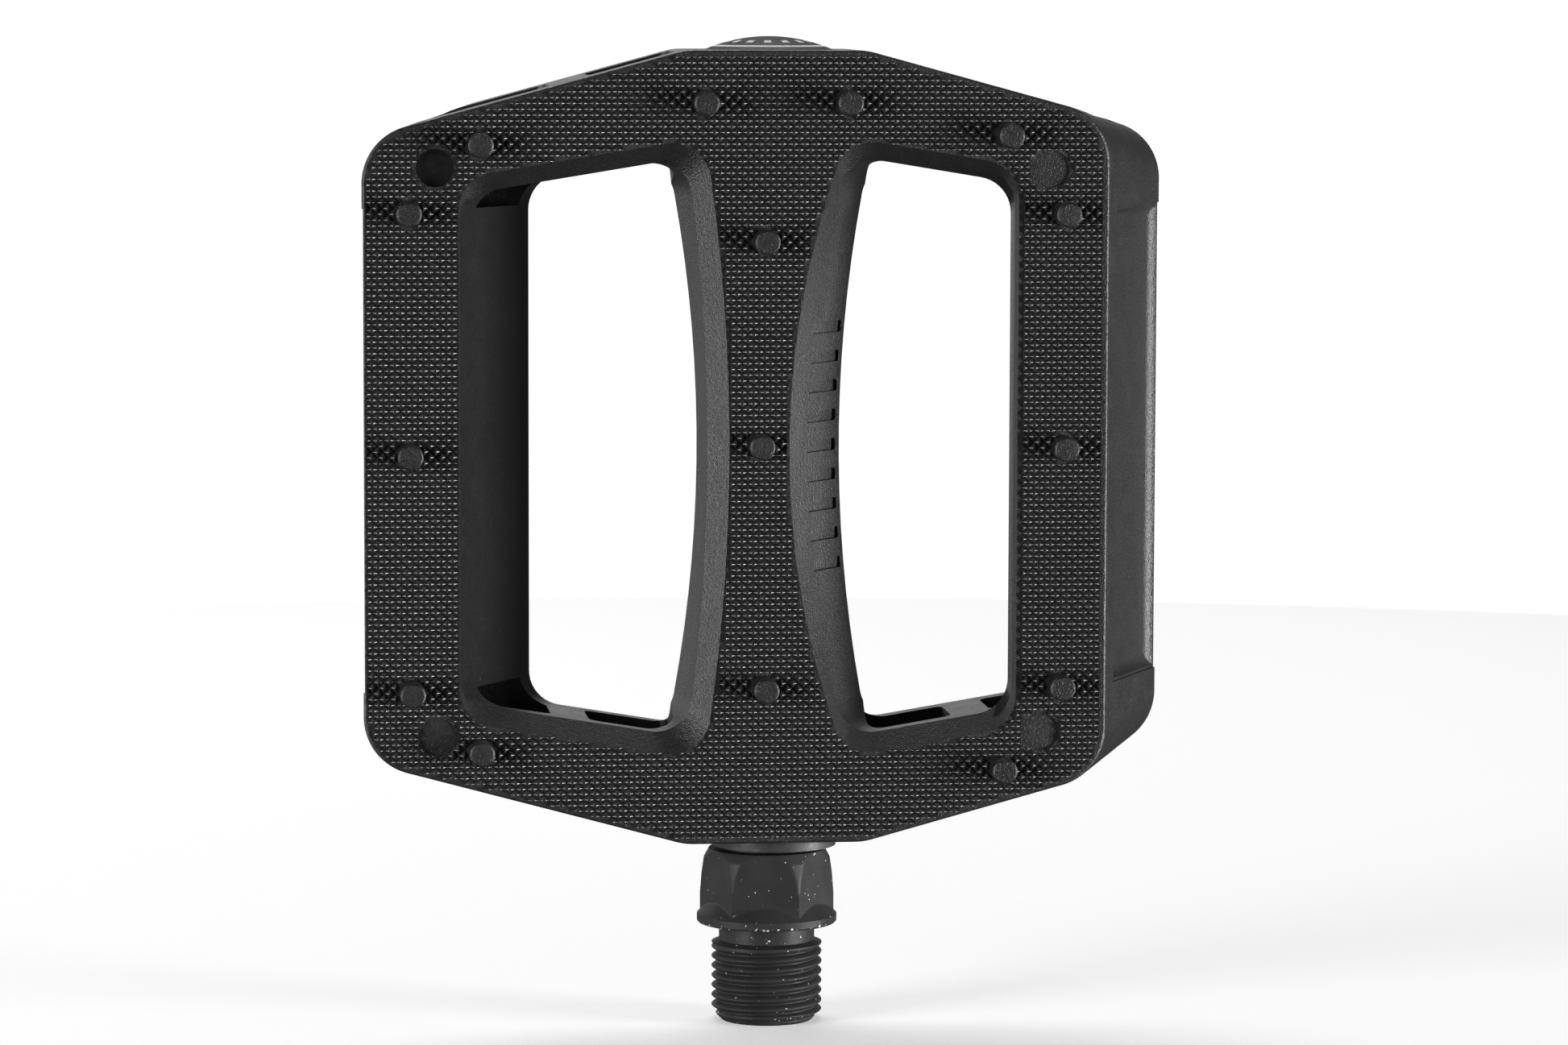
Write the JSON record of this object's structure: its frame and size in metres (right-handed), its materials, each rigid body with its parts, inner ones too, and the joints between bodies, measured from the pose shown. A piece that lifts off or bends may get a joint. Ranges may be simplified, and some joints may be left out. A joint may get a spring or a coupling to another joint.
{
  "type": "flat pedal",
  "caption": "Wide two-window moulded nylon flat bicycle pedal with traction pins on both faces, turning on a loose-ball steel axle with a threaded crank end.",
  "frame": {"origin": "centre of the axle's crank-end face, on the axle's axis, which is the bottom centre of the whole box", "axes": "+Z along the axle from the crank end to the end cap; X across the platform; the two foot faces look along -Y and +Y"},
  "size_m": [0.1046, 0.0258, 0.127],
  "materials": {
    "nylon": "moulded, matte, fine texture",
    "axle_steel": "black oxide, oiled",
    "washer_rubber": "matte",
    "cup_steel": "hardened, bright",
    "cone_steel": "hardened, ground race",
    "zinc_steel": "zinc plated",
    "ball_steel": "polished",
    "cap_plastic": "satin, printed ring"
  },
  "bodies": {
    "axle_assembly": {"axle": "axle_steel", "outboard_cone": "cone_steel", "tab_washer": "zinc_steel", "lock_nut": "zinc_steel"},
    "platform": {"pedal_body": "nylon", "inboard_cup": "cup_steel", "outboard_cup": "cup_steel", "dust_washer": "washer_rubber", "end_cap": "cap_plastic"},
    "inboard_ball_set": {"inboard_ball_01": "ball_steel", "inboard_ball_02": "ball_steel", "inboard_ball_03": "ball_steel", "inboard_ball_04": "ball_steel", "inboard_ball_05": "ball_steel", "inboard_ball_06": "ball_steel", "inboard_ball_07": "ball_steel", "inboard_ball_08": "ball_steel", "inboard_ball_09": "ball_steel", "inboard_ball_10": "ball_steel", "inboard_ball_11": "ball_steel"},
    "outboard_ball_set": {"outboard_ball_01": "ball_steel", "outboard_ball_02": "ball_steel", "outboard_ball_03": "ball_steel", "outboard_ball_04": "ball_steel", "outboard_ball_05": "ball_steel", "outboard_ball_06": "ball_steel", "outboard_ball_07": "ball_steel", "outboard_ball_08": "ball_steel", "outboard_ball_09": "ball_steel", "outboard_ball_10": "ball_steel", "outboard_ball_11": "ball_steel"}
  },
  "joints": [
    {"name": "platform_spin", "type": "hinge", "parent": "axle_assembly", "child": "platform", "pos_m": [0, 0, 0.0748], "axis": [0, 0, 1], "continuous": true},
    {"name": "inboard_balls_roll", "type": "hinge", "parent": "axle_assembly", "child": "inboard_ball_set", "pos_m": [0, 0, 0.027], "axis": [0, 0, 1], "continuous": true},
    {"name": "outboard_balls_roll", "type": "hinge", "parent": "axle_assembly", "child": "outboard_ball_set", "pos_m": [0, 0, 0.1166], "axis": [0, 0, 1], "continuous": true}
  ],
  "couplings": [
    {"joint": "inboard_balls_roll", "follows": "platform_spin", "ratio": 0.5976},
    {"joint": "outboard_balls_roll", "follows": "platform_spin", "ratio": 0.5976}
  ]
}
